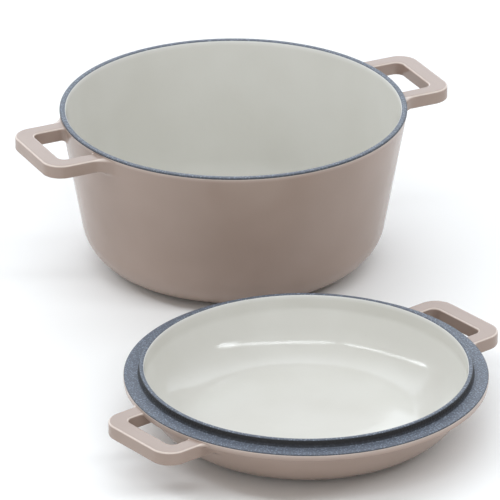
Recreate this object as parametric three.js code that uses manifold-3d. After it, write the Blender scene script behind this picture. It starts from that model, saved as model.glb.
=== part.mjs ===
// Enamelled cast iron bread pot with its pan-shaped lid lying upturned beside it.
// Millimetres, +Z up. The origin is the centre of the pot's base; X runs along the pot's handles.
import * as THREE from "three";
import { mergeVertices } from "three/addons/utils/BufferGeometryUtils.js";
import Module from "manifold-3d";

const wasm = await Module();
wasm.setup();

// Enamel: every size below is taken over the fired coat
const enamelThickness = 0.5;
const coatGap = 0.3;
const coatJoint = 0.3;
const basePatchMargin = 3;

// Pot
const rimRadius = 130;
const potHeight = 121;
const potWall = 4.6;
const potFloor = 5;
const potTaperDegrees = 10;
const potCornerRadius = 35;
const rimOuterEdge = 1.4;
const rimInnerEdge = 2;
const rimBand = 2.1;

// Lid, measured as it lies: land and locating ring upwards
const lidOverhang = 0.5;
const lidDepth = 41;
const lidFloor = 5;
const lidTaperDegrees = 28;
const lidCornerRadius = 42;
const flangeThickness = 5.5;
const flangeEdge = 1.6;
const flangeFillet = 3;
const wallShoulder = 1.5;
const landBand = 1.2;
const ringHeight = 6;
const ringClearance = 5.9;
const ringDraft = 1.5;
const ringTip = 3;
const ringTipRadius = 1.4;
const ringInnerDraft = 0.6;

// Loop handles
const potHandle = { reach: 37, width: 75, drop: 2.8 };
const lidHandle = { reach: 27, width: 75, drop: 2 };
const handleBar = 13.5;
const handleArm = 11.8;
const handleThickness = 10.5;
const handleCorner = 15;
const handleHoleCorner = 6;
const handleChamfer = 2;
const handleFlare = 9;
const handleFlareLength = 18;
const handleRoot = 24;

// How the lid lies beside the pot
const lidSpacing = 290;
const lidBearingDegrees = -106;
const lidTurnDegrees = 13;

// Facets
const turnSegments = 36;
const mergeDistance = 1e-4;
const cornerSteps = 4;
const edgeSteps = 1;
const handleSteps = 3;

const castingInset = enamelThickness + coatGap;
const potTaper = Math.tan(THREE.MathUtils.degToRad(potTaperDegrees));
const lidTaper = Math.tan(THREE.MathUtils.degToRad(lidTaperDegrees));
const mouthRadius = rimRadius - potWall;
const flangeRadius = rimRadius - lidOverhang;
const ringRoot = mouthRadius - ringClearance;
const cutterReach = 2 * rimRadius;

const enamelTaupe = new THREE.MeshStandardMaterial({ color: 0x9a8a82, roughness: 0.22, metalness: 0 });
const enamelCream = new THREE.MeshStandardMaterial({ color: 0xdcdcd2, roughness: 0.18, metalness: 0 });
const enamelSlate = new THREE.MeshStandardMaterial({ color: 0x3c4654, roughness: 0.6, metalness: 0 });
const castIron = new THREE.MeshStandardMaterial({ color: 0x4a4a4c, roughness: 0.7, metalness: 0.8 });

// A solid from a closed geometry, turned right side out.
function solid(geometry) {
  const plain = geometry.index ? geometry.toNonIndexed() : geometry.clone();
  plain.deleteAttribute("normal");
  plain.deleteAttribute("uv");
  const merged = mergeVertices(plain, mergeDistance);
  const triVerts = Uint32Array.from(merged.index.array);
  const vertProperties = Float32Array.from(merged.attributes.position.array);
  const corner = [new THREE.Vector3(), new THREE.Vector3(), new THREE.Vector3()];
  let volume = 0;
  for (let i = 0; i < triVerts.length; i += 3) {
    corner.forEach((point, k) => point.fromArray(vertProperties, 3 * triVerts[i + k]));
    volume += corner[0].dot(corner[1].cross(corner[2]));
  }
  if (volume < 0) {
    triVerts.reverse();
  }
  return new wasm.Manifold(new wasm.Mesh({ numProp: 3, vertProperties, triVerts }));
}

function meshOf(name, body, material) {
  const { vertProperties, triVerts } = body.getMesh();
  const geometry = new THREE.BufferGeometry();
  geometry.setAttribute("position", new THREE.BufferAttribute(Float32Array.from(vertProperties), 3));
  geometry.setIndex(new THREE.BufferAttribute(Uint32Array.from(triVerts), 1));
  geometry.computeVertexNormals();
  const mesh = new THREE.Mesh(geometry, material);
  mesh.name = name;
  return mesh;
}

// An outline through the given corners [radius, height, rounding, steps], rounded ones as arcs.
function roundedOutline(corners) {
  const points = [];
  corners.forEach(([x, y, rounding = 0, steps = edgeSteps], i) => {
    const at = new THREE.Vector2(x, y);
    if (rounding === 0) {
      points.push(at);
      return;
    }
    const back = new THREE.Vector2(...corners[i - 1].slice(0, 2)).sub(at).normalize();
    const ahead = new THREE.Vector2(...corners[i + 1].slice(0, 2)).sub(at).normalize();
    const half = Math.acos(back.dot(ahead)) / 2;
    const bisector = back.clone().add(ahead).normalize();
    const centre = at.clone().addScaledVector(bisector, rounding / Math.sin(half));
    const first = at.clone().addScaledVector(back, rounding / Math.tan(half)).sub(centre);
    const sweep = (Math.PI - 2 * half) * Math.sign(ahead.cross(back));
    for (let k = 0; k <= steps; k += 1) {
      points.push(first.clone().rotateAround(new THREE.Vector2(), (sweep * k) / steps).add(centre));
    }
  });
  return points;
}

// The outline moved sideways by a distance, to the left of its direction; ends stay on the axis.
function insetOutline(points, distance) {
  const normals = points.slice(1).map((point, i) => {
    const along = point.clone().sub(points[i]).normalize();
    return new THREE.Vector2(-along.y, along.x);
  });
  return points.map((point, i) => {
    const before = normals[Math.max(i - 1, 0)];
    const after = normals[Math.min(i, normals.length - 1)];
    const mitre = before.clone().add(after).divideScalar(1 + before.dot(after));
    return point.clone().addScaledVector(mitre, distance);
  });
}

function revolve(points) {
  return solid(new THREE.LatheGeometry(points, turnSegments).rotateX(Math.PI / 2));
}

// A round slab or ring used to cut the coats apart.
function slab(innerRadius, outerRadius, low, high) {
  const outline = [
    new THREE.Vector2(innerRadius, low),
    new THREE.Vector2(outerRadius, low),
    new THREE.Vector2(outerRadius, high),
    new THREE.Vector2(innerRadius, high),
  ];
  return revolve(innerRadius > 0 ? [...outline, outline[0].clone()] : outline);
}

// A pair of loop handles standing out from a rim, drawn in by an inset on every face.
function handlePair(handle, rootRadius, rimHeight, inset) {
  const tip = rootRadius + handle.reach - inset;
  const side = handle.width / 2 - inset;
  const holeTip = rootRadius + handle.reach - handleBar + inset;
  const holeSide = handle.width / 2 - handleArm + inset;
  const root = rootRadius - handleRoot;
  const bend = rootRadius - handleFlareLength / 2;
  const corner = handleCorner - inset;
  const holeCorner = handleHoleCorner + inset;
  const loop = new THREE.Shape();
  loop.moveTo(root, -side - handleFlare);
  loop.quadraticCurveTo(bend, -side, rootRadius + handleFlareLength / 2, -side);
  loop.lineTo(tip - corner, -side);
  loop.absarc(tip - corner, -side + corner, corner, -Math.PI / 2, 0);
  loop.lineTo(tip, side - corner);
  loop.absarc(tip - corner, side - corner, corner, 0, Math.PI / 2);
  loop.lineTo(rootRadius + handleFlareLength / 2, side);
  loop.quadraticCurveTo(bend, side, root, side + handleFlare);
  loop.lineTo(root, holeSide - handleFlare);
  loop.quadraticCurveTo(bend, holeSide, rootRadius, holeSide);
  loop.lineTo(holeTip - holeCorner, holeSide);
  loop.absarc(holeTip - holeCorner, holeSide - holeCorner, holeCorner, Math.PI / 2, 0, true);
  loop.lineTo(holeTip, -holeSide + holeCorner);
  loop.absarc(holeTip - holeCorner, -holeSide + holeCorner, holeCorner, 0, -Math.PI / 2, true);
  loop.lineTo(rootRadius, -holeSide);
  loop.quadraticCurveTo(bend, -holeSide, root, -holeSide + handleFlare);
  loop.closePath();
  const geometry = new THREE.ExtrudeGeometry(loop, {
    depth: handleThickness - 2 * inset - 2 * handleChamfer,
    curveSegments: handleSteps,
    bevelThickness: handleChamfer,
    bevelSize: handleChamfer,
    bevelOffset: -handleChamfer,
    bevelSegments: 1,
  });
  geometry.translate(0, 0, rimHeight - handle.drop - handleThickness + inset + handleChamfer);
  const right = solid(geometry);
  return right.add(solid(geometry.rotateZ(Math.PI)));
}

// One vessel: an iron casting with two handles, and the coats fired on its base, side, rim and inside.
// The middle outline runs inside the wall, so it tells the inside coat from the outer one.
function vessel({ name, outline, middle, handle, rootRadius, rimHeight, bandBottom, insideTop, baseEdge }) {
  const skin = revolve(outline);
  const skinInside = revolve(insetOutline(outline, enamelThickness));
  const iron = revolve(insetOutline(outline, castingInset));
  const core = revolve(middle);
  const loops = (inset) => handlePair(handle, rootRadius, rimHeight, inset).subtract(core);

  const shell = skin.subtract(skinInside);
  const basePatch = slab(0, baseEdge, -coatJoint, enamelThickness + coatJoint);
  const baseCut = slab(0, baseEdge + coatJoint, -coatJoint, enamelThickness + coatJoint);
  const bandZone = slab(insideTop.radius, cutterReach, bandBottom, cutterReach)
    .add(slab(0, cutterReach, insideTop.height, cutterReach));
  const bandCut = slab(0, cutterReach, bandBottom - coatJoint, cutterReach);
  const insideCut = slab(insideTop.radius - coatJoint, cutterReach, bandBottom - coatJoint, cutterReach)
    .add(slab(0, cutterReach, insideTop.height - coatJoint, cutterReach));

  const filled = (body, inset) => body.add(core).add(loops(inset));
  const wrap = filled(skin, 0).subtract(filled(skinInside, enamelThickness));
  const side = wrap.subtract(bandCut).subtract(baseCut);
  const casting = iron.add(loops(castingInset));

  const group = new THREE.Group();
  group.add(
    meshOf(`${name}_casting`, casting, castIron),
    meshOf(`${name}_outer_enamel`, side, enamelTaupe),
    meshOf(`${name}_base_enamel`, shell.intersect(basePatch), enamelTaupe),
    meshOf(`${name}_rim_enamel`, shell.intersect(bandZone), enamelSlate),
    meshOf(`${name}_inner_enamel`, shell.intersect(core).subtract(insideCut), enamelCream),
  );
  return group;
}

// Radius at which a tapered wall, rounded into the base, runs out flat.
function flatRadius(wallFoot, taperDegrees, rounding) {
  const corner = THREE.MathUtils.degToRad(90 + taperDegrees);
  return wallFoot - rounding / Math.tan(corner / 2);
}

function buildPot() {
  const foot = rimRadius - potHeight * potTaper;
  const innerFoot = mouthRadius - (potHeight - potFloor) * potTaper;
  const innerCorner = potCornerRadius - potFloor;
  const outline = roundedOutline([
    [0, 0],
    [foot, 0, potCornerRadius, cornerSteps],
    [rimRadius, potHeight, rimOuterEdge],
    [mouthRadius, potHeight, rimInnerEdge],
    [innerFoot, potFloor, innerCorner, cornerSteps],
    [0, potFloor],
  ]);
  const middleFoot = innerFoot + potWall / 2 - potTaper * potFloor / 2;
  const middle = roundedOutline([
    [0, potFloor / 2],
    [middleFoot, potFloor / 2, innerCorner + potFloor / 2, cornerSteps],
    [mouthRadius + potWall / 2, potHeight],
    [mouthRadius + potWall / 2, cutterReach],
    [0, cutterReach],
  ]);
  return vessel({
    name: "pot",
    outline,
    middle,
    handle: potHandle,
    rootRadius: rimRadius,
    rimHeight: potHeight,
    bandBottom: potHeight - rimBand,
    insideTop: { radius: mouthRadius, height: potHeight - rimBand },
    baseEdge: flatRadius(foot, potTaperDegrees, potCornerRadius) + basePatchMargin,
  });
}

function buildLid() {
  const flangeLow = lidDepth - flangeThickness;
  const shoulder = ringRoot + wallShoulder;
  const foot = shoulder - flangeLow * lidTaper;
  const tipOuter = ringRoot - ringDraft;
  const tipInner = tipOuter - ringTip;
  const innerShoulder = tipInner - ringInnerDraft;
  const innerFoot = innerShoulder - (flangeLow - lidFloor) * lidTaper;
  const innerCorner = lidCornerRadius - lidFloor;
  const ringTop = lidDepth + ringHeight;
  const outline = roundedOutline([
    [0, 0],
    [foot, 0, lidCornerRadius, cornerSteps],
    [shoulder, flangeLow, flangeFillet],
    [flangeRadius, flangeLow, flangeEdge],
    [flangeRadius, lidDepth, rimOuterEdge],
    [ringRoot, lidDepth],
    [tipOuter, ringTop, ringTipRadius],
    [tipInner, ringTop, ringTipRadius],
    [innerShoulder, flangeLow],
    [innerFoot, lidFloor, innerCorner, cornerSteps],
    [0, lidFloor],
  ]);
  const wallMiddle = (shoulder - innerShoulder) / 2;
  const middleFoot = innerFoot + wallMiddle - lidTaper * lidFloor / 2;
  const middle = roundedOutline([
    [0, lidFloor / 2],
    [middleFoot, lidFloor / 2, innerCorner + lidFloor / 2, cornerSteps],
    [innerShoulder + wallMiddle, flangeLow],
    [tipInner + ringTip / 2, ringTop],
    [tipInner + ringTip / 2, cutterReach],
    [0, cutterReach],
  ]);
  return vessel({
    name: "lid",
    outline,
    middle,
    handle: lidHandle,
    rootRadius: flangeRadius,
    rimHeight: lidDepth,
    bandBottom: lidDepth - landBand,
    insideTop: { radius: tipInner + ringTip / 2, height: ringTop - ringTipRadius },
    baseEdge: flatRadius(foot, lidTaperDegrees, lidCornerRadius) + basePatchMargin,
  });
}

const breadPot = new THREE.Group();
const bearing = THREE.MathUtils.degToRad(lidBearingDegrees);
const lid = buildLid();
lid.position.set(lidSpacing * Math.cos(bearing), lidSpacing * Math.sin(bearing), 0);
lid.rotation.z = THREE.MathUtils.degToRad(lidTurnDegrees);
breadPot.add(buildPot(), lid);

export default breadPot;
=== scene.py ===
import math

import bmesh
import bpy
import numpy as np
from mathutils import Matrix, Vector


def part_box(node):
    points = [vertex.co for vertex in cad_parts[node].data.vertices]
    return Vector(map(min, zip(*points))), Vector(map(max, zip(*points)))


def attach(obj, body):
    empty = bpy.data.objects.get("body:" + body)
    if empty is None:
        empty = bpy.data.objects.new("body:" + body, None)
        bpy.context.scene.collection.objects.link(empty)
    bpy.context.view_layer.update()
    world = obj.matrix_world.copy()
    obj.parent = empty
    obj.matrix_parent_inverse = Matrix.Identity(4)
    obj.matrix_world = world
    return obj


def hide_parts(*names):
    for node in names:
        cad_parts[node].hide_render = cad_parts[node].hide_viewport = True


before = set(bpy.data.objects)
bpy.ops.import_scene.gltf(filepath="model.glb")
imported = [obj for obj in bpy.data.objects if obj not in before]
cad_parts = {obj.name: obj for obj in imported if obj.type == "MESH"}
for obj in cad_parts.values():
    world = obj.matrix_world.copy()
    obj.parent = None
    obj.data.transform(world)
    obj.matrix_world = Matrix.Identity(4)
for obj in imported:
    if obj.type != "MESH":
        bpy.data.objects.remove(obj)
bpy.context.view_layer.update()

millimetre = 0.001
print("frame loaded")


# Shape tools. Paths and outlines are in millimetres, meshes in metres.
tools = {
    "arcSteps": 14,  # fewest points on a rounded corner
    "arcSpacing": 1.6,  # widest step along a large corner
    "spacing": 3.0,  # widest step along a straight stretch
    "turns": 240,  # steps round the upright axis
    "enamel": 0.5,  # thickness of a coat
    "ironInset": 0.8,  # depth of the iron below the outline
    "seamSink": 0.2,  # depth of the groove where two coats meet
    "seamRun": 0.7,  # stretch over which a coat sinks into the groove
    "seamStations": 7,
    "lengthDigits": 3,  # stations that agree to this digit are one
    "mergeDistance": 1e-6,
    "sharpDegrees": 38.0,
}


def unit(vector):
    return vector / np.linalg.norm(vector)


# A rounded corner is an arc of the given radius that touches both of its sides.
# A row of a path holds radius, height and the unit normal, which points left, into the metal.
def cornerArc(before, here, after, radius):
    toBefore = unit(before - here)
    toAfter = unit(after - here)
    half = math.acos(np.clip(toBefore @ toAfter, -1.0, 1.0)) / 2
    centre = here + unit(toBefore + toAfter) * radius / math.sin(half)
    start = here + toBefore * radius / math.tan(half) - centre
    end = here + toAfter * radius / math.tan(half) - centre
    first = math.atan2(start[1], start[0])
    turn = math.atan2(start[0] * end[1] - start[1] * end[0], start @ end)
    steps = max(tools["arcSteps"], math.ceil(radius * abs(turn) / tools["arcSpacing"]))
    angles = first + turn * np.linspace(0.0, 1.0, steps)
    outward = np.stack([np.cos(angles), np.sin(angles)], axis=1)
    return np.hstack([centre + radius * outward, -math.copysign(1.0, turn) * outward])


# Length along a path up to each of its points.
def lengthsOf(path):
    steps = np.diff(path[:, :2], axis=0)
    return np.concatenate([[0.0], np.cumsum(np.linalg.norm(steps, axis=1))])


# Corners are (radius, height, rounding); the two ends have no rounding.
def roundedPath(corners):
    points = [np.array(corner[:2], float) for corner in corners]
    arcs = []
    for index in range(1, len(corners) - 1):
        around = points[index - 1:index + 2]
        arcs.append(cornerArc(*around, corners[index][2]))
    first = np.concatenate([points[0], arcs[0][0, 2:]])
    last = np.concatenate([points[-1], arcs[-1][-1, 2:]])
    return np.concatenate([[first], *arcs, [last]])


# Radius at which a rounded foot leaves its flat base: the sharp foot less the tangent length.
def flatRadius(foot, rounding, taper):
    return foot - rounding / math.tan(math.radians(90 + taper) / 2)


# Length at which the path first rises to a height, or, from the far end, last stands at it.
def lengthAt(path, height, fromEnd=False):
    lengths = lengthsOf(path)
    if fromEnd:
        path, lengths = path[::-1], lengths[::-1]
    after = int(np.argmax(path[:, 1] >= height))
    low, high = path[after - 1, 1], path[after, 1]
    share = (height - low) / (high - low)
    return lengths[after - 1] + (lengths[after] - lengths[after - 1]) * share


# A stretch of the path: wide gaps are split evenly, and both ends get close stations.
def cutPath(path, start, end):
    lengths = lengthsOf(path)
    knots = np.concatenate([[start], lengths[(lengths > start) & (lengths < end)], [end]])
    shares = np.concatenate([[0.0], np.cumsum(np.ceil(np.diff(knots) / tools["spacing"]))])
    even = np.interp(np.arange(shares[-1] + 1), shares, knots)
    close = np.linspace(0.0, tools["seamRun"], tools["seamStations"])
    stations = np.concatenate([even, start + close, end - close])
    stations = np.unique(np.round(stations, tools["lengthDigits"]))
    stations = stations[(stations > start) & (stations < end)]
    stations = np.concatenate([[start], stations, [end]])
    return np.stack([np.interp(stations, lengths, column) for column in path.T], axis=1)


# Every point moves along its normal, so a positive distance goes into the metal.
def insetPath(path, distance):
    return path[:, :2] + path[:, 2:] * np.reshape(distance, (-1, 1))


# At a seam the surface sinks along a quarter ellipse, so two coats meet in a fine groove.
def softenSeams(path, seams):
    lengths = lengthsOf(path)
    far = np.full_like(lengths, tools["seamRun"])
    fromStart = lengths if seams[0] else far
    fromEnd = lengths[-1] - lengths if seams[1] else far
    ratio = 1.0 - np.clip(np.minimum(fromStart, fromEnd) / tools["seamRun"], 0.0, 1.0)
    return insetPath(path, tools["seamSink"] * (1.0 - np.sqrt(1.0 - ratio**2)))


# Radius and height of the section are turned round the upright axis.
def turned(section, place):
    angles = np.linspace(0.0, 2 * math.pi, tools["turns"], endpoint=False)
    across = section[:, 0:1]
    grid = np.empty((len(section), tools["turns"], 3))
    grid[:, :, 0] = across * np.cos(angles) + place["centre"][0]
    grid[:, :, 1] = across * np.sin(angles) + place["centre"][1]
    grid[:, :, 2] = section[:, 1:2]
    return grid


# A thin closed shell over a stretch of path, with or without a seam at its start and end.
# Its tone, the share of painted light (a painted highlight on enamel, painted shade on the ground coat), is
# given along the path, from 0 to 1.
def coat(path, place, seams, tone=None):
    back = insetPath(path, tools["enamel"])
    section = np.concatenate([softenSeams(path, seams), back[::-1]])
    paintedShare = np.zeros(len(section))
    if tone is not None:
        paintedShare[:len(path)] = tone(path)
    # A shell that reaches the axis is open there: its rows start and end in a pole.
    onAxis = path[0, 0] == 0 or path[-1, 0] == 0
    if path[-1, 0] == 0:
        section = np.roll(section, -len(path), axis=0)
        paintedShare = np.roll(paintedShare, -len(path))
    return turned(section, place), not onAxis, paintedShare[:, None]


# A painted highlight that fades over a short run, from its strength at one end of the path to nothing.
def fadingHighlight(paintedShare, run, fromEnd=False):
    def tone(path):
        lengths = lengthsOf(path)
        away = lengths[-1] - lengths if fromEnd else lengths
        return paintedShare * np.clip(1.0 - away / run, 0.0, 1.0)
    return tone


# Outline of a bar's section, a rectangle with round edges.
# Its columns are multipliers of the flat half sizes, across and up, and the outward normal.
def barOutline(arcSteps, flatStations):
    rows = []
    for quarter in range(4):
        angles = np.radians(np.linspace(90 * quarter, 90 * quarter + 90, arcSteps))
        signs = np.sign([np.cos(angles.mean()), np.sin(angles.mean())])
        arc = np.empty((arcSteps, 4))
        arc[:, :2] = signs
        arc[:, 2:] = np.stack([np.cos(angles), np.sin(angles)], axis=1)
        nextAngle = angles.mean() + math.pi / 2
        nextSigns = np.sign([np.cos(nextAngle), np.sin(nextAngle)])
        share = np.array(flatStations)[:, None]
        flat = np.empty((len(flatStations), 4))
        flat[:, :2] = signs * (1 - share) + nextSigns * share
        flat[:, 2:] = arc[-1, 2:]
        rows += [arc, flat]
    return np.concatenate(rows)


# Heights of the outline's points on a bar with the handle's top and thickness.
def barHeights(shape, outline):
    half = shape["thickness"] / 2
    return shape["top"] - half + outline[:, 1] * (half - shape["edge"]) + shape["edge"] * outline[:, 3]


# Places of the outline's points across a bar, from 0 on its inner side to 1 on its outer side.
def barShares(shape, outline, width):
    return (outline[:, 0] * (width / 2 - shape["edge"]) + shape["edge"] * outline[:, 2]) / width + 0.5


# The wall's radius at a height: a straight taper that swells to the flange, if any, by a smooth step.
def wallRadius(wall, up):
    radius = wall["top"] + (up - wall["height"]) * math.tan(math.radians(wall["taper"]))
    if "flange" not in wall:
        return radius
    share = np.clip((up - wall["height"] + wall["blend"]) / (2 * wall["blend"]), 0.0, 1.0)
    swell = share**2 * (3 - 2 * share)
    return np.maximum(radius, radius + (wall["flange"] - radius) * swell)


# Root of an arm: a quarter circle from the arm to the wall, with its own radius on each side.
def handleRoot(shape, wall, outline):
    normalAcross, normalUp = outline[:, 2:].T
    armWidth = shape["halfWidth"] - shape["holeHalf"]
    beside = shape["holeHalf"] + armWidth * barShares(shape, outline, armWidth)
    sideways = np.where(normalAcross > 0, shape["sideFlare"], shape["holeFlare"])
    upright = np.where(normalUp > 0, shape["topFlare"], shape["underFlare"])
    flare = sideways * normalAcross**2 + upright * normalUp**2
    angles = np.linspace(math.pi / 2, 0.0, shape["flareSteps"])[:, None]
    across = beside + normalAcross * sideways * (1 - np.cos(angles))
    up = barHeights(shape, outline) + normalUp * upright * (1 - np.cos(angles))
    out = np.sqrt(wallRadius(wall, up)**2 - across**2) + flare * (1 - np.sin(angles))
    return np.stack([out, across, up], axis=2)


# Corner and half the grip: an outer and an inner line, each an arc and then a straight to the middle.
# The two arcs share their angle, and the bar's section spans from one line to the other.
def handleBar(shape, outline):
    armWidth = shape["halfWidth"] - shape["holeHalf"]
    gripWidth = shape["tip"] - shape["holeTip"]
    bend = np.linspace(0.0, math.pi / 2, shape["bendSteps"])
    heading = np.stack([np.sin(bend), np.cos(bend)], axis=1)
    toMiddle = np.linspace(1.0, 0.0, shape["gripSteps"])[1:, None]
    straight = np.hstack([np.ones_like(toMiddle), toMiddle])

    def line(tip, side, rounding):
        arc = np.array([tip - rounding, side - rounding]) + rounding * heading
        return np.concatenate([arc, arc[-1] * straight])

    outer = line(shape["tip"], shape["halfWidth"], shape["corner"])
    inner = line(shape["holeTip"], shape["holeHalf"], shape["holeCorner"])
    progress = np.concatenate([bend / bend[-1], np.ones(len(toMiddle))])[:, None]
    armSpans = barShares(shape, outline, armWidth) * (1 - progress)
    spans = armSpans + barShares(shape, outline, gripWidth) * progress
    bar = np.empty((len(outer), len(outline), 3))
    bar[:, :, :2] = inner[:, None] + (outer - inner)[:, None] * spans[:, :, None]
    bar[:, :, 2] = barHeights(shape, outline)
    return bar


# A grid turned about the upright axis to a bearing and moved to its place.
def placed(grid, bearing, place):
    turn = math.radians(bearing + place["turn"])
    out, across, up = np.moveaxis(grid, 2, 0)
    return np.stack([
        out * math.cos(turn) - across * math.sin(turn) + place["centre"][0],
        out * math.sin(turn) + across * math.cos(turn) + place["centre"][1],
        up,
    ], axis=2)


# A loop handle: a rounded bar that leaves the wall, turns two corners and comes back.
# Half of it is worked out, from a pole inside the wall to the grip's middle, and then mirrored.
def loopHandle(shape, wall, bearing, place):
    outline = barOutline(shape["edgeSteps"], shape["flatStations"])
    root = handleRoot(shape, wall, outline)
    bar = handleBar(shape, outline)
    run = np.linspace(0.0, 1.0, shape["armSteps"])[1:-1, None, None]
    arm = root[-1] * (1 - run) + bar[0] * run
    sunk = root[0:1] - np.array([shape["sink"], 0.0, 0.0])
    pole = np.broadcast_to(sunk.mean(axis=1, keepdims=True), sunk.shape)
    side = np.concatenate([pole, sunk, root, arm, bar])
    mirrored = side[::-1][1:] * np.array([1.0, -1.0, 1.0])
    loop = np.concatenate([side, mirrored])

    # A painted highlight lies along the upper edges; the tone fades out towards the wall.
    normalAcross, normalUp = outline[:, 2:].T
    edgeHighlight = (2 * normalAcross * normalUp) ** 2 * (normalUp > 0)
    onRoot = np.linspace(0.0, 1.0, len(root))
    reach = np.concatenate([np.zeros(len(pole) + len(sunk)), onRoot, np.ones(len(arm) + len(bar))])
    tone = np.concatenate([reach, reach[::-1][1:]])[:, None] * edgeHighlight
    return placed(loop, bearing, place), False, tone


def loopHandles(shape, wall, place):
    return [loopHandle(shape, wall, bearing, place) for bearing in shape["bearings"]]


# The same handle drawn in on every side, for the iron under the enamel.
def insetHandle(shape, distance):
    drawn = dict(shape)
    for name in ("tip", "halfWidth", "corner", "top"):
        drawn[name] = shape[name] - distance
    for name in ("holeTip", "holeHalf", "holeCorner"):
        drawn[name] = shape[name] + distance
    drawn["thickness"] = shape["thickness"] - 2 * distance
    return drawn


# The same wall drawn in, flange and all.
def insetWall(wall, distance):
    drawn = dict(wall)
    for name in ("top", "flange"):
        if name in wall:
            drawn[name] = wall[name] - distance
    return drawn


# Rows close on themselves or end in poles; columns always close.
def gridFaces(rows, columns, closed, offset):
    row = np.arange(rows if closed else rows - 1)[:, None]
    column = np.arange(columns)[None, :]
    nextRow = (row + 1) % rows
    nextColumn = (column + 1) % columns
    corners = [
        row * columns + column,
        row * columns + nextColumn,
        nextRow * columns + nextColumn,
        nextRow * columns + column,
    ]
    return np.stack(corners, axis=2).reshape(-1, 4) + offset


# Surfaces are (grid of points, whether its rows close, tone); doubles at poles are merged.
def makePiece(name, surfaces, body, nodes, material):
    points = []
    faces = []
    tones = []
    offset = 0
    for grid, closed, tone in surfaces:
        rows, columns = grid.shape[:2]
        points.append(grid.reshape(-1, 3) * millimetre)
        faces.append(gridFaces(rows, columns, closed, offset))
        tones.append(np.broadcast_to(tone, (rows, columns)).reshape(-1))
        offset += rows * columns
    mesh = bpy.data.meshes.new(name)
    mesh.from_pydata(np.concatenate(points).tolist(), [], np.concatenate(faces).tolist())
    layer = mesh.attributes.new("tone", "FLOAT", "POINT")
    layer.data.foreach_set("value", np.concatenate(tones).astype(np.float32))
    work = bmesh.new()
    work.from_mesh(mesh)
    bmesh.ops.remove_doubles(work, verts=work.verts, dist=tools["mergeDistance"])
    bmesh.ops.recalc_face_normals(work, faces=work.faces)
    work.to_mesh(mesh)
    work.free()
    mesh.polygons.foreach_set("use_smooth", np.ones(len(mesh.polygons), bool))
    mesh.set_sharp_from_angle(angle=math.radians(tools["sharpDegrees"]))
    mesh.materials.append(material)
    piece = bpy.data.objects.new(name, mesh)
    bpy.context.scene.collection.objects.link(piece)
    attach(piece, body)
    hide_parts(*nodes)


# Material tools. An input is set to a value, or linked where the value is another node's socket.
def addNode(tree, kind, inputs=None, **settings):
    made = tree.nodes.new(kind)
    for name, value in settings.items():
        setattr(made, name, value)
    for key, value in (inputs or {}).items():
        if isinstance(value, bpy.types.NodeSocket):
            tree.links.new(value, made.inputs[key])
        else:
            made.inputs[key].default_value = value
    return made


def mixColours(tree, factor, first, second):
    inputs = {0: factor, 6: first, 7: second}  # 6 and 7 are a Mix node's two colours
    return addNode(tree, "ShaderNodeMix", inputs, data_type="RGBA").outputs[2]


def ranged(tree, value, limits, toLow, toHigh):
    inputs = {0: value, 1: limits[0], 2: limits[1], 3: toLow, 4: toHigh}
    return addNode(tree, "ShaderNodeMapRange", inputs).outputs[0]


def combined(tree, operation, first, second):
    return addNode(tree, "ShaderNodeMath", {0: first, 1: second}, operation=operation).outputs[0]


def noise(tree, vector, scale, detail, roughness=0.5):
    made = addNode(tree, "ShaderNodeTexNoise", {
        "Vector": vector, "Scale": scale, "Detail": detail, "Roughness": roughness,
    })
    return made.outputs["Fac"]


def makeGroup(name, inputs, outputs):
    tree = bpy.data.node_groups.new(name, "ShaderNodeTree")
    for label, kind in inputs.items():
        tree.interface.new_socket(name=label, in_out="INPUT", socket_type=kind)
    for label, kind in outputs.items():
        tree.interface.new_socket(name=label, in_out="OUTPUT", socket_type=kind)
    return tree, tree.nodes.new("NodeGroupInput"), tree.nodes.new("NodeGroupOutput")


skinOutputs = {
    "Colour": "NodeSocketColor",
    "Gloss": "NodeSocketFloat",
    "Relief": "NodeSocketFloat",
}

# Fired gloss enamel: slow drift of tone, rare pinholes, and the soft ripple of a poured coat.
enamelLook = {
    "driftScale": 15.0,
    "driftDetail": 2.0,
    "driftLimits": (0.36, 0.64),
    "driftShare": 0.55,
    "speckScale": 1400.0,
    "speckDetail": 2.0,
    "speckLimits": (0.5, 0.72),
    "speckShare": 0.1,
    "pinholeScale": 95.0,
    "pinholeSize": (0.0175, 0.035),  # full within the first, gone at the second
    "pinholePick": (0.7, 0.75),  # only cells with a high random value have one
    "pinholeShare": 0.2,
    "pinholeColour": (0.03, 0.028, 0.026, 1.0),
    "pinholeRelief": 1.5,
    "rippleScale": 210.0,
    "rippleDetail": 1.0,
    "grainScale": 900.0,
    "grainDetail": 2.0,
    "grainShare": 0.18,
    "wornScale": 45.0,
    "wornDetail": 3.0,
    "wornLimits": (0.3, 0.7),
}


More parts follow.
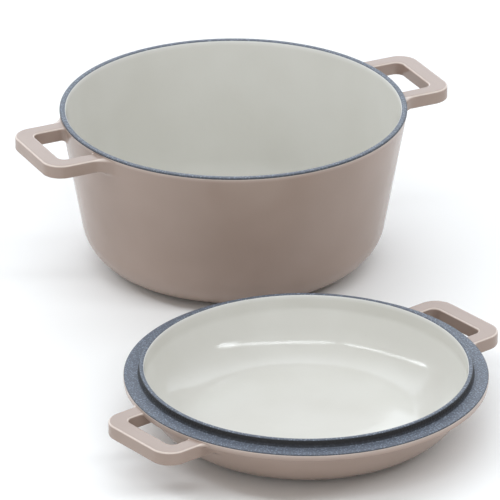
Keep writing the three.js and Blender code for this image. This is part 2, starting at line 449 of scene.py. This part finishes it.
def makeEnamelGroup():
    look = enamelLook
    tree, given, result = makeGroup("enamelSkin", {
        "Body": "NodeSocketColor",
        "Deep": "NodeSocketColor",
        "PaintedHighlight": "NodeSocketColor",
        "Smooth": "NodeSocketFloat",
        "Dull": "NodeSocketFloat",
    }, skinOutputs)
    where = addNode(tree, "ShaderNodeTexCoord").outputs["Object"]
    drift = noise(tree, where, look["driftScale"], look["driftDetail"])
    drift = ranged(tree, drift, look["driftLimits"], 0.0, look["driftShare"])
    body = mixColours(tree, drift, given.outputs["Body"], given.outputs["Deep"])
    speck = noise(tree, where, look["speckScale"], look["speckDetail"])
    speck = ranged(tree, speck, look["speckLimits"], 0.0, look["speckShare"])
    body = mixColours(tree, speck, body, given.outputs["Deep"])
    cells = addNode(tree, "ShaderNodeTexVoronoi", {"Vector": where, "Scale": look["pinholeScale"]})
    near = ranged(tree, cells.outputs["Distance"], look["pinholeSize"], 1.0, 0.0)
    pick = ranged(tree, cells.outputs["Color"], look["pinholePick"], 0.0, look["pinholeShare"])
    pinhole = combined(tree, "MULTIPLY", near, pick)
    body = mixColours(tree, pinhole, body, look["pinholeColour"])
    # Painted highlight where the tone attribute is high.
    tone = addNode(tree, "ShaderNodeAttribute", attribute_name="tone").outputs["Fac"]
    body = mixColours(tree, tone, body, given.outputs["PaintedHighlight"])
    ripple = noise(tree, where, look["rippleScale"], look["rippleDetail"])
    grain = noise(tree, where, look["grainScale"], look["grainDetail"])
    relief = combined(tree, "ADD", ripple, combined(tree, "MULTIPLY", grain, look["grainShare"]))
    pit = combined(tree, "MULTIPLY", pinhole, look["pinholeRelief"])
    relief = combined(tree, "SUBTRACT", relief, pit)
    worn = noise(tree, where, look["wornScale"], look["wornDetail"])
    gloss = ranged(tree, worn, look["wornLimits"], given.outputs["Smooth"], given.outputs["Dull"])
    tree.links.new(body, result.inputs["Colour"])
    tree.links.new(gloss, result.inputs["Gloss"])
    tree.links.new(relief, result.inputs["Relief"])
    return tree


# Matt ground coat: fine sandy pebbles with painted glints on their tops, and painted shade where the tone
# attribute is high.
groundLook = {
    "pebbleScale": 620.0,
    "pebbleLimits": (0.0, 0.8),
    "sandScale": 1200.0,
    "sandDetail": 3.0,
    "sandRoughness": 0.65,
    "glintLimits": (0.95, 1.4),
    "glintShare": 0.65,
    "glossLimits": (0.35, 0.65),
    "smooth": 0.42,
    "dull": 0.6,
}


def makeGroundGroup():
    look = groundLook
    tree, given, result = makeGroup("groundCoat", {
        "Body": "NodeSocketColor",
        "PaintedHighlight": "NodeSocketColor",
        "PaintedShade": "NodeSocketColor",
    }, skinOutputs)
    where = addNode(tree, "ShaderNodeTexCoord").outputs["Object"]
    pebbles = addNode(tree, "ShaderNodeTexVoronoi", {"Vector": where, "Scale": look["pebbleScale"]})
    dome = ranged(tree, pebbles.outputs["Distance"], look["pebbleLimits"], 1.0, 0.0)
    sand = noise(tree, where, look["sandScale"], look["sandDetail"], look["sandRoughness"])
    relief = combined(tree, "ADD", dome, sand)
    glints = ranged(tree, relief, look["glintLimits"], 0.0, look["glintShare"])
    body = mixColours(tree, glints, given.outputs["Body"], given.outputs["PaintedHighlight"])
    tone = addNode(tree, "ShaderNodeAttribute", attribute_name="tone").outputs["Fac"]
    body = mixColours(tree, tone, body, given.outputs["PaintedShade"])
    gloss = ranged(tree, sand, look["glossLimits"], look["smooth"], look["dull"])
    tree.links.new(body, result.inputs["Colour"])
    tree.links.new(gloss, result.inputs["Gloss"])
    tree.links.new(relief, result.inputs["Relief"])
    return tree


# A group's skin feeds the shader; what is the same all over is set on the shader itself.
def makeMaterial(name, group, given, bump, constants):
    material = bpy.data.materials.new(name)
    material.use_nodes = True
    tree = material.node_tree
    shader = tree.nodes["Principled BSDF"]
    skin = addNode(tree, "ShaderNodeGroup", given, node_tree=group)
    relief = addNode(tree, "ShaderNodeBump", {
        "Strength": bump["strength"], "Distance": bump["depth"], "Height": skin.outputs["Relief"],
    })
    tree.links.new(skin.outputs["Colour"], shader.inputs["Base Color"])
    tree.links.new(skin.outputs["Gloss"], shader.inputs["Roughness"])
    tree.links.new(relief.outputs["Normal"], shader.inputs["Normal"])
    for key, value in constants.items():
        shader.inputs[key].default_value = value
    return material


enamelSkin = makeEnamelGroup()
groundCoat = makeGroundGroup()

taupe = makeMaterial(
    "taupeEnamel", enamelSkin,
    {
        "Body": (0.355, 0.273, 0.232, 1.0),
        "Deep": (0.305, 0.23, 0.191, 1.0),
        "PaintedHighlight": (0.74, 0.64, 0.58, 1.0),
        "Smooth": 0.18,
        "Dull": 0.26,
    },
    {"strength": 0.09, "depth": 0.0006},
    {"IOR": 1.43},
)
cream = makeMaterial(
    "creamEnamel", enamelSkin,
    {
        "Body": (0.672, 0.665, 0.626, 1.0),
        "Deep": (0.615, 0.604, 0.558, 1.0),
        "PaintedHighlight": (0.82, 0.82, 0.81, 1.0),
        "Smooth": 0.08,
        "Dull": 0.14,
    },
    {"strength": 0.09, "depth": 0.0006},
    {"IOR": 1.44},
)
slate = makeMaterial(
    "slateEnamel", groundCoat,
    {
        "Body": (0.092, 0.109, 0.143, 1.0),
        "PaintedHighlight": (0.35, 0.41, 0.5, 1.0),
        "PaintedShade": (0.004, 0.004, 0.006, 1.0),
    },
    {"strength": 0.8, "depth": 0.0004},
    {},
)
iron = makeMaterial(
    "castIron", groundCoat,
    {
        "Body": (0.06, 0.06, 0.063, 1.0),
        "PaintedHighlight": (0.11, 0.11, 0.112, 1.0),
        "PaintedShade": (0.03, 0.03, 0.03, 1.0),
    },
    {"strength": 0.4, "depth": 0.0003},
    {"Metallic": 0.85},
)
print("materials made")


# An outline is cut where its flat foot ends and at both seams of its band, into four coats.
# The iron under them is the whole outline drawn in.
def dressCasting(body, casting, outline, footEnd, bandSeams, wall, bandShadeTone):
    place = casting["place"]
    outerSeam, innerSeam = bandSeams
    last = lengthsOf(outline)[-1]
    depth = tools["ironInset"]
    handles = loopHandles(casting["handle"], wall, place)
    bars = loopHandles(insetHandle(casting["handle"], depth), insetWall(wall, depth), place)
    # Painted highlight lines: on the side coat along the band and on the inside coat just below it.
    sideHighlightTone = fadingHighlight(casting["sideHighlight"], casting["sideHighlightRun"], fromEnd=True)
    insideHighlightTone = fadingHighlight(casting["insideHighlight"], casting["insideHighlightRun"])
    side = coat(cutPath(outline, footEnd, outerSeam), place, (False, True), sideHighlightTone)
    base = coat(cutPath(outline, 0.0, footEnd), place, (False, False))
    band = coat(cutPath(outline, outerSeam, innerSeam), place, (True, True), bandShadeTone)
    inside = coat(cutPath(outline, innerSeam, last), place, (True, False), insideHighlightTone)
    core = (turned(insetPath(cutPath(outline, 0.0, last), depth), place), False, 0.0)
    makePiece(body + "SideEnamel", [side, *handles], body, [body + "_outer_enamel"], taupe)
    makePiece(body + "BaseEnamel", [base], body, [body + "_base_enamel"], taupe)
    makePiece(body + "RimEnamel", [band], body, [body + "_rim_enamel"], slate)
    makePiece(body + "InnerEnamel", [inside], body, [body + "_inner_enamel"], cream)
    makePiece(body + "Iron", [core, *bars], body, [body + "_casting"], iron)


# The pot: tapered wall, rounded base corner, blue-grey band over the rim.
pot = {
    "rim": 130.0,
    "height": 121.0,
    "wall": 4.6,
    "floor": 5.0,
    "taper": 10.0,
    "corner": 35.0,
    "innerCorner": 30.0,
    "outerEdge": 1.2,
    "innerEdge": 1.6,
    "outerBand": 1.5,
    "innerBand": 0.6,
    "bandShade": 0.75,  # painted shade on the band's rounded outer side
    "sideHighlight": 0.55,  # painted highlight line of the side coat along the band
    "sideHighlightRun": 1.2,
    "insideHighlight": 0.8,  # the same painted highlight line inside
    "insideHighlightRun": 2.5,
    "place": {"centre": (0.0, 0.0), "turn": 0.0},
    "handle": {
        "bearings": (0.0, 180.0),
        "tip": 167.0,
        "holeTip": 153.5,
        "halfWidth": 37.5,
        "holeHalf": 25.7,
        "corner": 15.0,
        "holeCorner": 6.0,
        "top": 118.2,
        "thickness": 10.5,
        "edge": 1.4,
        "sideFlare": 12.0,
        "holeFlare": 4.5,
        "underFlare": 5.0,
        "topFlare": 1.2,
        "sink": 1.5,
        "edgeSteps": 7,
        "flatStations": (0.05, 0.2, 0.35, 0.5, 0.65, 0.8, 0.95),
        "flareSteps": 12,
        "bendSteps": 16,
        "gripSteps": 8,
        "armSteps": 8,
    },
}


def buildPot():
    lean = math.tan(math.radians(pot["taper"]))
    rim, height, floor, wall = pot["rim"], pot["height"], pot["floor"], pot["wall"]
    foot = rim - height * lean
    innerFoot = rim - wall - (height - floor) * lean
    outline = roundedPath([
        (0.0, 0.0),
        (foot, 0.0, pot["corner"]),
        (rim, height, pot["outerEdge"]),
        (rim - wall, height, pot["innerEdge"]),
        (innerFoot, floor, pot["innerCorner"]),
        (0.0, floor),
    ])
    footEnd = flatRadius(foot, pot["corner"], pot["taper"])
    outerSeam = lengthAt(outline, height - pot["outerBand"])
    innerSeam = lengthAt(outline, height - pot["innerBand"], fromEnd=True)

    # Painted shade: the band darkens outwards over its rounded edge.
    def bandShadeTone(path):
        outward = (path[:, 0] - rim + pot["outerEdge"]) / pot["outerEdge"]
        return pot["bandShade"] * np.clip(outward, 0.0, 1.0)

    wallLine = {"top": rim, "height": height, "taper": pot["taper"]}
    dressCasting("pot", pot, outline, footEnd, (outerSeam, innerSeam), wallLine, bandShadeTone)


buildPot()
print("pot made")


# The lid: a shallow pan with an overhanging flange, a flat land and a raised locating ring.
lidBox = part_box("lid_base_enamel")
lid = {
    "flange": 129.5,
    "depth": 41.0,
    "flangeThickness": 5.5,
    "wallTop": 121.0,
    "floor": 5.0,
    "taper": 28.0,
    "corner": 42.0,
    "innerCorner": 37.0,
    "wallFillet": 3.0,
    "lowerEdge": 1.6,
    "upperEdge": 1.1,
    "outerBand": 0.75,
    "innerBand": 0.6,
    "ringRoot": 119.5,
    "ringFoot": 0.8,
    "ringOuter": 118.0,
    "ringInner": 115.0,
    "ringTop": 47.0,
    "ringEdge": 1.4,
    "innerTop": 114.4,
    "innerEase": 8.0,
    "ledgeBlend": 1.8,  # the handles' wall swells to the flange this far below and above its underside
    "edgeShade": 0.7,  # painted shade on the land's outermost edge
    "shadeStart": 0.3,  # painted shade on the ring's outer side starts this far above the land
    "shadeEnd": 0.35,  # and ends this far below the ring's top
    "shadeRun": 0.5,
    # painted highlight line of the side coat along the band
    "sideHighlight": 0.7,
    "sideHighlightRun": pot["sideHighlightRun"],
    "insideHighlight": pot["insideHighlight"],
    "insideHighlightRun": pot["insideHighlightRun"],
    "place": {
        "centre": tuple((lidBox[0][axis] + lidBox[1][axis]) / 2 / millimetre for axis in (0, 1)),
        "turn": 13.0,
    },
    "handle": {
        **pot["handle"],
        "tip": 156.5,
        "holeTip": 143.0,
        "top": 39.0,
        "sideFlare": 6.0,
        "holeFlare": 2.5,
        "topFlare": 0.7,
    },
}


def buildLid():
    lean = math.tan(math.radians(lid["taper"]))
    underside = lid["depth"] - lid["flangeThickness"]
    foot = lid["wallTop"] - underside * lean
    innerFoot = lid["innerTop"] - (underside - lid["floor"]) * lean
    outline = roundedPath([
        (0.0, 0.0),
        (foot, 0.0, lid["corner"]),
        (lid["wallTop"], underside, lid["wallFillet"]),
        (lid["flange"], underside, lid["lowerEdge"]),
        (lid["flange"], lid["depth"], lid["upperEdge"]),
        (lid["ringRoot"], lid["depth"], lid["ringFoot"]),
        (lid["ringOuter"], lid["ringTop"], lid["ringEdge"]),
        (lid["ringInner"], lid["ringTop"], lid["ringEdge"]),
        (lid["innerTop"], underside, lid["innerEase"]),
        (innerFoot, lid["floor"], lid["innerCorner"]),
        (0.0, lid["floor"]),
    ])
    footEnd = flatRadius(foot, lid["corner"], lid["taper"])
    outerSeam = lengthAt(outline, lid["depth"] - lid["outerBand"])
    innerSeam = lengthAt(outline, lid["ringTop"] - lid["innerBand"], fromEnd=True)

    # Painted shade: the ring's outer side and the land's outermost edge are darkened; land and ring tip stay
    # blue-grey.
    def ringShadeTone(path):
        across, up = path[:, :2].T
        outward = np.clip((across - lid["flange"] + lid["upperEdge"]) / lid["upperEdge"], 0.0, 1.0)
        rise = np.clip((up - lid["depth"] - lid["shadeStart"]) / lid["shadeRun"], 0.0, 1.0)
        fall = np.clip((lid["ringTop"] - lid["shadeEnd"] - up) / lid["shadeRun"], 0.0, 1.0)
        return np.maximum(lid["edgeShade"] * outward, rise * fall)

    wallLine = {
        "top": lid["wallTop"],
        "height": underside,
        "taper": lid["taper"],
        "flange": lid["flange"],
        "blend": lid["ledgeBlend"],
    }
    dressCasting("lid", lid, outline, footEnd, (outerSeam, innerSeam), wallLine, ringShadeTone)


buildLid()
print("lid made")


# Stage: a pale floor in a soft room, long tubes of light above the lid and a low fill in front.
stage = {
    "floorRadius": 9.0,
    "floorSides": 64,
    "floorDrop": 0.0002,
    "floorColour": (0.92, 0.92, 0.915, 1.0),
    "floorShade": (0.88, 0.88, 0.875, 1.0),
    "floorCloudScale": 3.0,
    "floorCloudDetail": 2.0,
    "floorRoughness": 0.9,
    "skyAzimuth": 154.0,
    "skyElevation": 30.0,
    "skyColour": (2.35, 2.5, 2.65, 1.0),
    "skyEdges": (0.5, 0.97),
    "brightSide": (0.82, 0.82, 0.81, 1.0),
    "dimSide": (0.46, 0.435, 0.405, 1.0),
    "dimAzimuth": 60.0,
    "dimElevation": 0.0,
    "dimEdges": (-0.6, 0.8),
    "roomStrength": 0.85,
    "tubes": {
        "leftTube": {"start": (2.03, -2.06, 2.0), "end": (-0.9, -0.7, 2.0), "width": 0.22, "watts": 19.0},
        "rightTube": {"start": (-1.05, -0.55, 2.0), "end": (-2.59, 2.69, 2.0), "width": 0.16, "watts": 16.0},
        "rightEnd": {"start": (-1.95, 1.34, 2.0), "end": (-2.59, 2.69, 2.0), "width": 0.4, "watts": 7.0},
        "leftEnd": {"start": (2.03, -2.06, 2.0), "end": (1.2, -1.67, 2.0), "width": 0.55, "watts": 9.0},
        "frontFill": {"start": (-2.3, -1.7, 0.6), "end": (0.0, -3.0, 0.6), "width": 0.9, "watts": 5.5},
    },
    "tubeColour": (0.91, 0.955, 1.0),
}


# Azimuth 0 is in front of the pot, on the lid's side; elevation is above the floor.
def toward(azimuth, elevation):
    around, up = math.radians(azimuth), math.radians(elevation)
    return Vector((
        math.sin(around) * math.cos(up), -math.cos(around) * math.cos(up), math.sin(up),
    ))


# The floor is one flat disc, a hair below the pieces that stand on it.
def buildFloor():
    sides = stage["floorSides"]
    angles = np.linspace(0.0, 2 * math.pi, sides, endpoint=False)
    ring = np.stack([np.cos(angles), np.sin(angles), np.zeros(sides)], axis=1) * stage["floorRadius"]
    ring[:, 2] = -stage["floorDrop"]
    mesh = bpy.data.meshes.new("studioFloor")
    mesh.from_pydata(ring.tolist(), [], [list(range(sides))])
    material = bpy.data.materials.new("paleFloor")
    material.use_nodes = True
    tree = material.node_tree
    shader = tree.nodes["Principled BSDF"]
    where = addNode(tree, "ShaderNodeTexCoord").outputs["Object"]
    cloud = noise(tree, where, stage["floorCloudScale"], stage["floorCloudDetail"])
    colour = mixColours(tree, cloud, stage["floorColour"], stage["floorShade"])
    tree.links.new(colour, shader.inputs["Base Color"])
    shader.inputs["Roughness"].default_value = stage["floorRoughness"]
    mesh.materials.append(material)
    floor = bpy.data.objects.new("studioFloor", mesh)
    bpy.context.scene.collection.objects.link(floor)


# The room is bright, dim towards one side, with a soft sky behind the pot.
def buildRoom():
    world = bpy.data.worlds.new("softRoom")
    world.use_nodes = True
    tree = world.node_tree
    background = tree.nodes["Background"]
    direction = addNode(tree, "ShaderNodeTexCoord").outputs["Generated"]

    # A lobe's share is a smooth step of the cosine between a direction and the lobe's middle.
    def lobe(azimuth, elevation, edges):
        inputs = {0: direction, 1: toward(azimuth, elevation)}
        facing = addNode(tree, "ShaderNodeVectorMath", inputs, operation="DOT_PRODUCT")
        inputs = {0: facing.outputs["Value"], 1: edges[0], 2: edges[1]}
        return addNode(tree, "ShaderNodeMapRange", inputs, interpolation_type="SMOOTHSTEP").outputs[0]

    dimShare = lobe(stage["dimAzimuth"], stage["dimElevation"], stage["dimEdges"])
    skyShare = lobe(stage["skyAzimuth"], stage["skyElevation"], stage["skyEdges"])
    colour = mixColours(tree, dimShare, stage["brightSide"], stage["dimSide"])
    colour = mixColours(tree, skyShare, colour, stage["skyColour"])
    tree.links.new(colour, background.inputs["Color"])
    background.inputs["Strength"].default_value = stage["roomStrength"]
    bpy.context.scene.world = world


# A tube runs from its start to its end and faces the aim.
def buildTubes(aim):
    for name, tube in stage["tubes"].items():
        start, end = Vector(tube["start"]), Vector(tube["end"])
        along = (end - start).normalized()
        across = along.cross(aim - start).normalized()
        light = bpy.data.lights.new(name, "AREA")
        light.shape = "RECTANGLE"
        light.size = (end - start).length
        light.size_y = tube["width"]
        light.color = stage["tubeColour"]
        light.energy = tube["watts"]
        holder = bpy.data.objects.new(name, light)
        holder.location = (start + end) / 2
        holder.rotation_euler = Matrix((along, across, along.cross(across))).transposed().to_euler()
        bpy.context.scene.collection.objects.link(holder)


# The camera stands far off with a long lens, at a height between those of the photographed pieces.
viewpoint = {
    "azimuth": -26.35,
    "elevation": 25.14,
    "distance": 4.373,
    "lens": 432.0,
    "sensor": 36.0,
    "aim": (-0.035, -0.14, 0.06),
    "slideRight": -0.0184,
    "slideUp": 0.0079,
}


def buildCamera():
    back = toward(viewpoint["azimuth"], viewpoint["elevation"])
    turn = back.to_track_quat("Z", "Y")
    right = turn @ Vector((1.0, 0.0, 0.0))
    up = turn @ Vector((0.0, 1.0, 0.0))
    data = bpy.data.cameras.new("photoCamera")
    data.lens = viewpoint["lens"]
    data.sensor_width = viewpoint["sensor"]
    camera = bpy.data.objects.new("photoCamera", data)
    aim = Vector(viewpoint["aim"]) + right * viewpoint["slideRight"] + up * viewpoint["slideUp"]
    camera.location = aim + back * viewpoint["distance"]
    camera.rotation_euler = turn.to_euler()
    bpy.context.scene.collection.objects.link(camera)
    bpy.context.scene.camera = camera


buildFloor()
buildRoom()
buildTubes(Vector(viewpoint["aim"]))
buildCamera()
bpy.context.scene.view_settings.view_transform = "Standard"
print("stage made")
